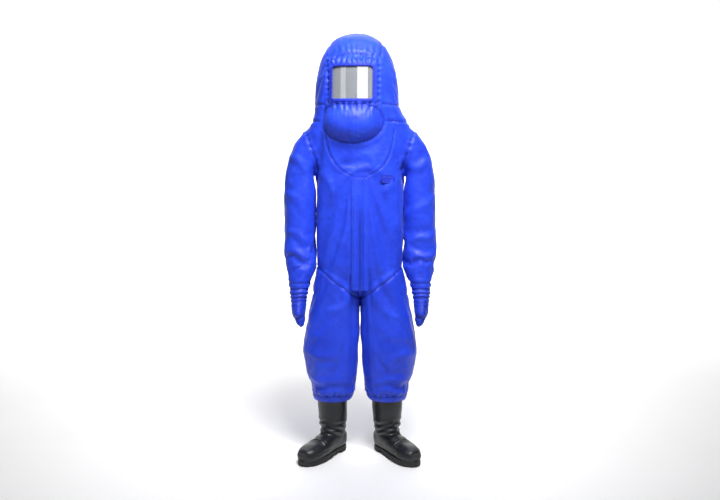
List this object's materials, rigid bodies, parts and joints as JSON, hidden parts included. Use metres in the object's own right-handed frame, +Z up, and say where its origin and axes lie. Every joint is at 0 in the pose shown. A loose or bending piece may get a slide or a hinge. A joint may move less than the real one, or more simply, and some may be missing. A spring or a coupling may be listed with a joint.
{
  "type": "chemical protective suit",
  "caption": "Hooded one-piece protective coverall with a window in the hood, sewn-on gloves, a zip under a storm flap, and black rubber boots.",
  "frame": {"origin": "on the floor, in the middle of the standing suit's outer box", "axes": "+Z up from the soles to the top of the hood; the wearer faces -Y and their left side is +X"},
  "size_m": [0.667, 0.3688, 1.85],
  "materials": {
    "suit_fabric": "royal blue padded coated fabric",
    "trim_fabric": "darker blue binding and tape",
    "lining_fabric": "pale inner lining",
    "glove_fabric": "blue coated knit",
    "clear_window": "clear flexible window sheet",
    "black_rubber": "satin black rubber",
    "sole_rubber": "matt black rubber",
    "zip_tape": "woven tape with moulded teeth",
    "zip_metal": "satin plated metal",
    "steel_cap": "pressed steel"
  },
  "bodies": {
    "torso": {"back_panel": "suit_fabric", "front_panel_left": "suit_fabric", "front_panel_right": "suit_fabric", "neck_bib": "suit_fabric", "chest_patch": "trim_fabric", "zip_half_left": "zip_tape", "zip_half_right": "zip_tape", "zip_bottom_stop": "zip_metal", "flap_loop_strip": "trim_fabric"},
    "hood": {"hood_shell": "suit_fabric", "hood_lining": "lining_fabric", "face_panel": "suit_fabric", "visor_lens": "clear_window", "visor_gasket": "black_rubber", "visor_frame": "trim_fabric", "chin_panel": "suit_fabric", "neck_bellows": "suit_fabric"},
    "storm_flap": {"storm_flap": "suit_fabric", "flap_hook_strip": "trim_fabric"},
    "zip_slider": {"zip_slider": "zip_metal", "zip_pull_tab": "zip_metal"},
    "left_upper_arm": {"left_shoulder_gusset": "suit_fabric", "left_upper_sleeve": "suit_fabric"},
    "left_forearm": {"left_elbow_section": "suit_fabric", "left_forearm_sleeve": "suit_fabric", "left_sleeve_cuff": "trim_fabric", "left_glove_gauntlet": "glove_fabric"},
    "left_hand": {"left_glove_wrist": "glove_fabric", "left_glove_hand": "glove_fabric"},
    "left_thigh": {"left_hip_gusset": "suit_fabric", "left_thigh_leg": "suit_fabric"},
    "left_lower_leg": {"left_knee_section": "suit_fabric", "left_shin_leg": "suit_fabric", "left_hem_band": "trim_fabric", "left_boot_upper": "black_rubber", "left_boot_outsole": "sole_rubber", "left_boot_insole": "lining_fabric", "left_boot_toe_cap": "steel_cap"},
    "right_upper_arm": {"right_shoulder_gusset": "suit_fabric", "right_upper_sleeve": "suit_fabric"},
    "right_forearm": {"right_elbow_section": "suit_fabric", "right_forearm_sleeve": "suit_fabric", "right_sleeve_cuff": "trim_fabric", "right_glove_gauntlet": "glove_fabric"},
    "right_hand": {"right_glove_wrist": "glove_fabric", "right_glove_hand": "glove_fabric"},
    "right_thigh": {"right_hip_gusset": "suit_fabric", "right_thigh_leg": "suit_fabric"},
    "right_lower_leg": {"right_knee_section": "suit_fabric", "right_shin_leg": "suit_fabric", "right_hem_band": "trim_fabric", "right_boot_upper": "black_rubber", "right_boot_outsole": "sole_rubber", "right_boot_insole": "lining_fabric", "right_boot_toe_cap": "steel_cap"}
  },
  "joints": [
    {"name": "hood_nod", "type": "hinge", "parent": "torso", "child": "hood", "pos_m": [0, 0.0484, 1.47], "axis": [1, 0, 0], "range_deg": [-10, 20], "deforming": ["neck_bellows", "chin_panel"]},
    {"name": "storm_flap_open", "type": "hinge", "parent": "torso", "child": "storm_flap", "pos_m": [0.036, -0.116, 1], "axis": [0, 0, 1], "range_deg": [0, 160]},
    {"name": "zip_slider_travel", "type": "slide", "parent": "torso", "child": "zip_slider", "axis": [0, 0, -1], "range_m": [0, 0.43]},
    {"name": "left_shoulder_raise", "type": "hinge", "parent": "torso", "child": "left_upper_arm", "pos_m": [0.205, 0.0184, 1.395], "axis": [0, -1, 0], "range_deg": [0, 75], "deforming": ["left_shoulder_gusset"]},
    {"name": "left_elbow_bend", "type": "hinge", "parent": "left_upper_arm", "child": "left_forearm", "pos_m": [0.2735, 0.0184, 1.085], "axis": [-1, 0, 0], "range_deg": [0, 90], "deforming": ["left_elbow_section"]},
    {"name": "left_wrist_bend", "type": "hinge", "parent": "left_forearm", "child": "left_hand", "pos_m": [0.264, -0.0316, 0.752], "axis": [-1, 0, 0], "range_deg": [-15, 25], "deforming": ["left_glove_wrist"]},
    {"name": "left_hip_bend", "type": "hinge", "parent": "torso", "child": "left_thigh", "pos_m": [0.1, 0.0184, 0.92], "axis": [-1, 0, 0], "range_deg": [0, 60], "deforming": ["left_hip_gusset"]},
    {"name": "left_knee_bend", "type": "hinge", "parent": "left_thigh", "child": "left_lower_leg", "pos_m": [0.126, 0.0184, 0.46], "axis": [1, 0, 0], "range_deg": [0, 70], "deforming": ["left_knee_section"]},
    {"name": "right_shoulder_raise", "type": "hinge", "parent": "torso", "child": "right_upper_arm", "pos_m": [-0.205, 0.0184, 1.395], "axis": [0, 1, 0], "range_deg": [0, 75], "deforming": ["right_shoulder_gusset"]},
    {"name": "right_elbow_bend", "type": "hinge", "parent": "right_upper_arm", "child": "right_forearm", "pos_m": [-0.2735, 0.0184, 1.085], "axis": [-1, 0, 0], "range_deg": [0, 90], "deforming": ["right_elbow_section"]},
    {"name": "right_wrist_bend", "type": "hinge", "parent": "right_forearm", "child": "right_hand", "pos_m": [-0.264, -0.0316, 0.752], "axis": [-1, 0, 0], "range_deg": [-15, 25], "deforming": ["right_glove_wrist"]},
    {"name": "right_hip_bend", "type": "hinge", "parent": "torso", "child": "right_thigh", "pos_m": [-0.1, 0.0184, 0.92], "axis": [-1, 0, 0], "range_deg": [0, 60], "deforming": ["right_hip_gusset"]},
    {"name": "right_knee_bend", "type": "hinge", "parent": "right_thigh", "child": "right_lower_leg", "pos_m": [-0.126, 0.0184, 0.46], "axis": [1, 0, 0], "range_deg": [0, 70], "deforming": ["right_knee_section"]}
  ]
}
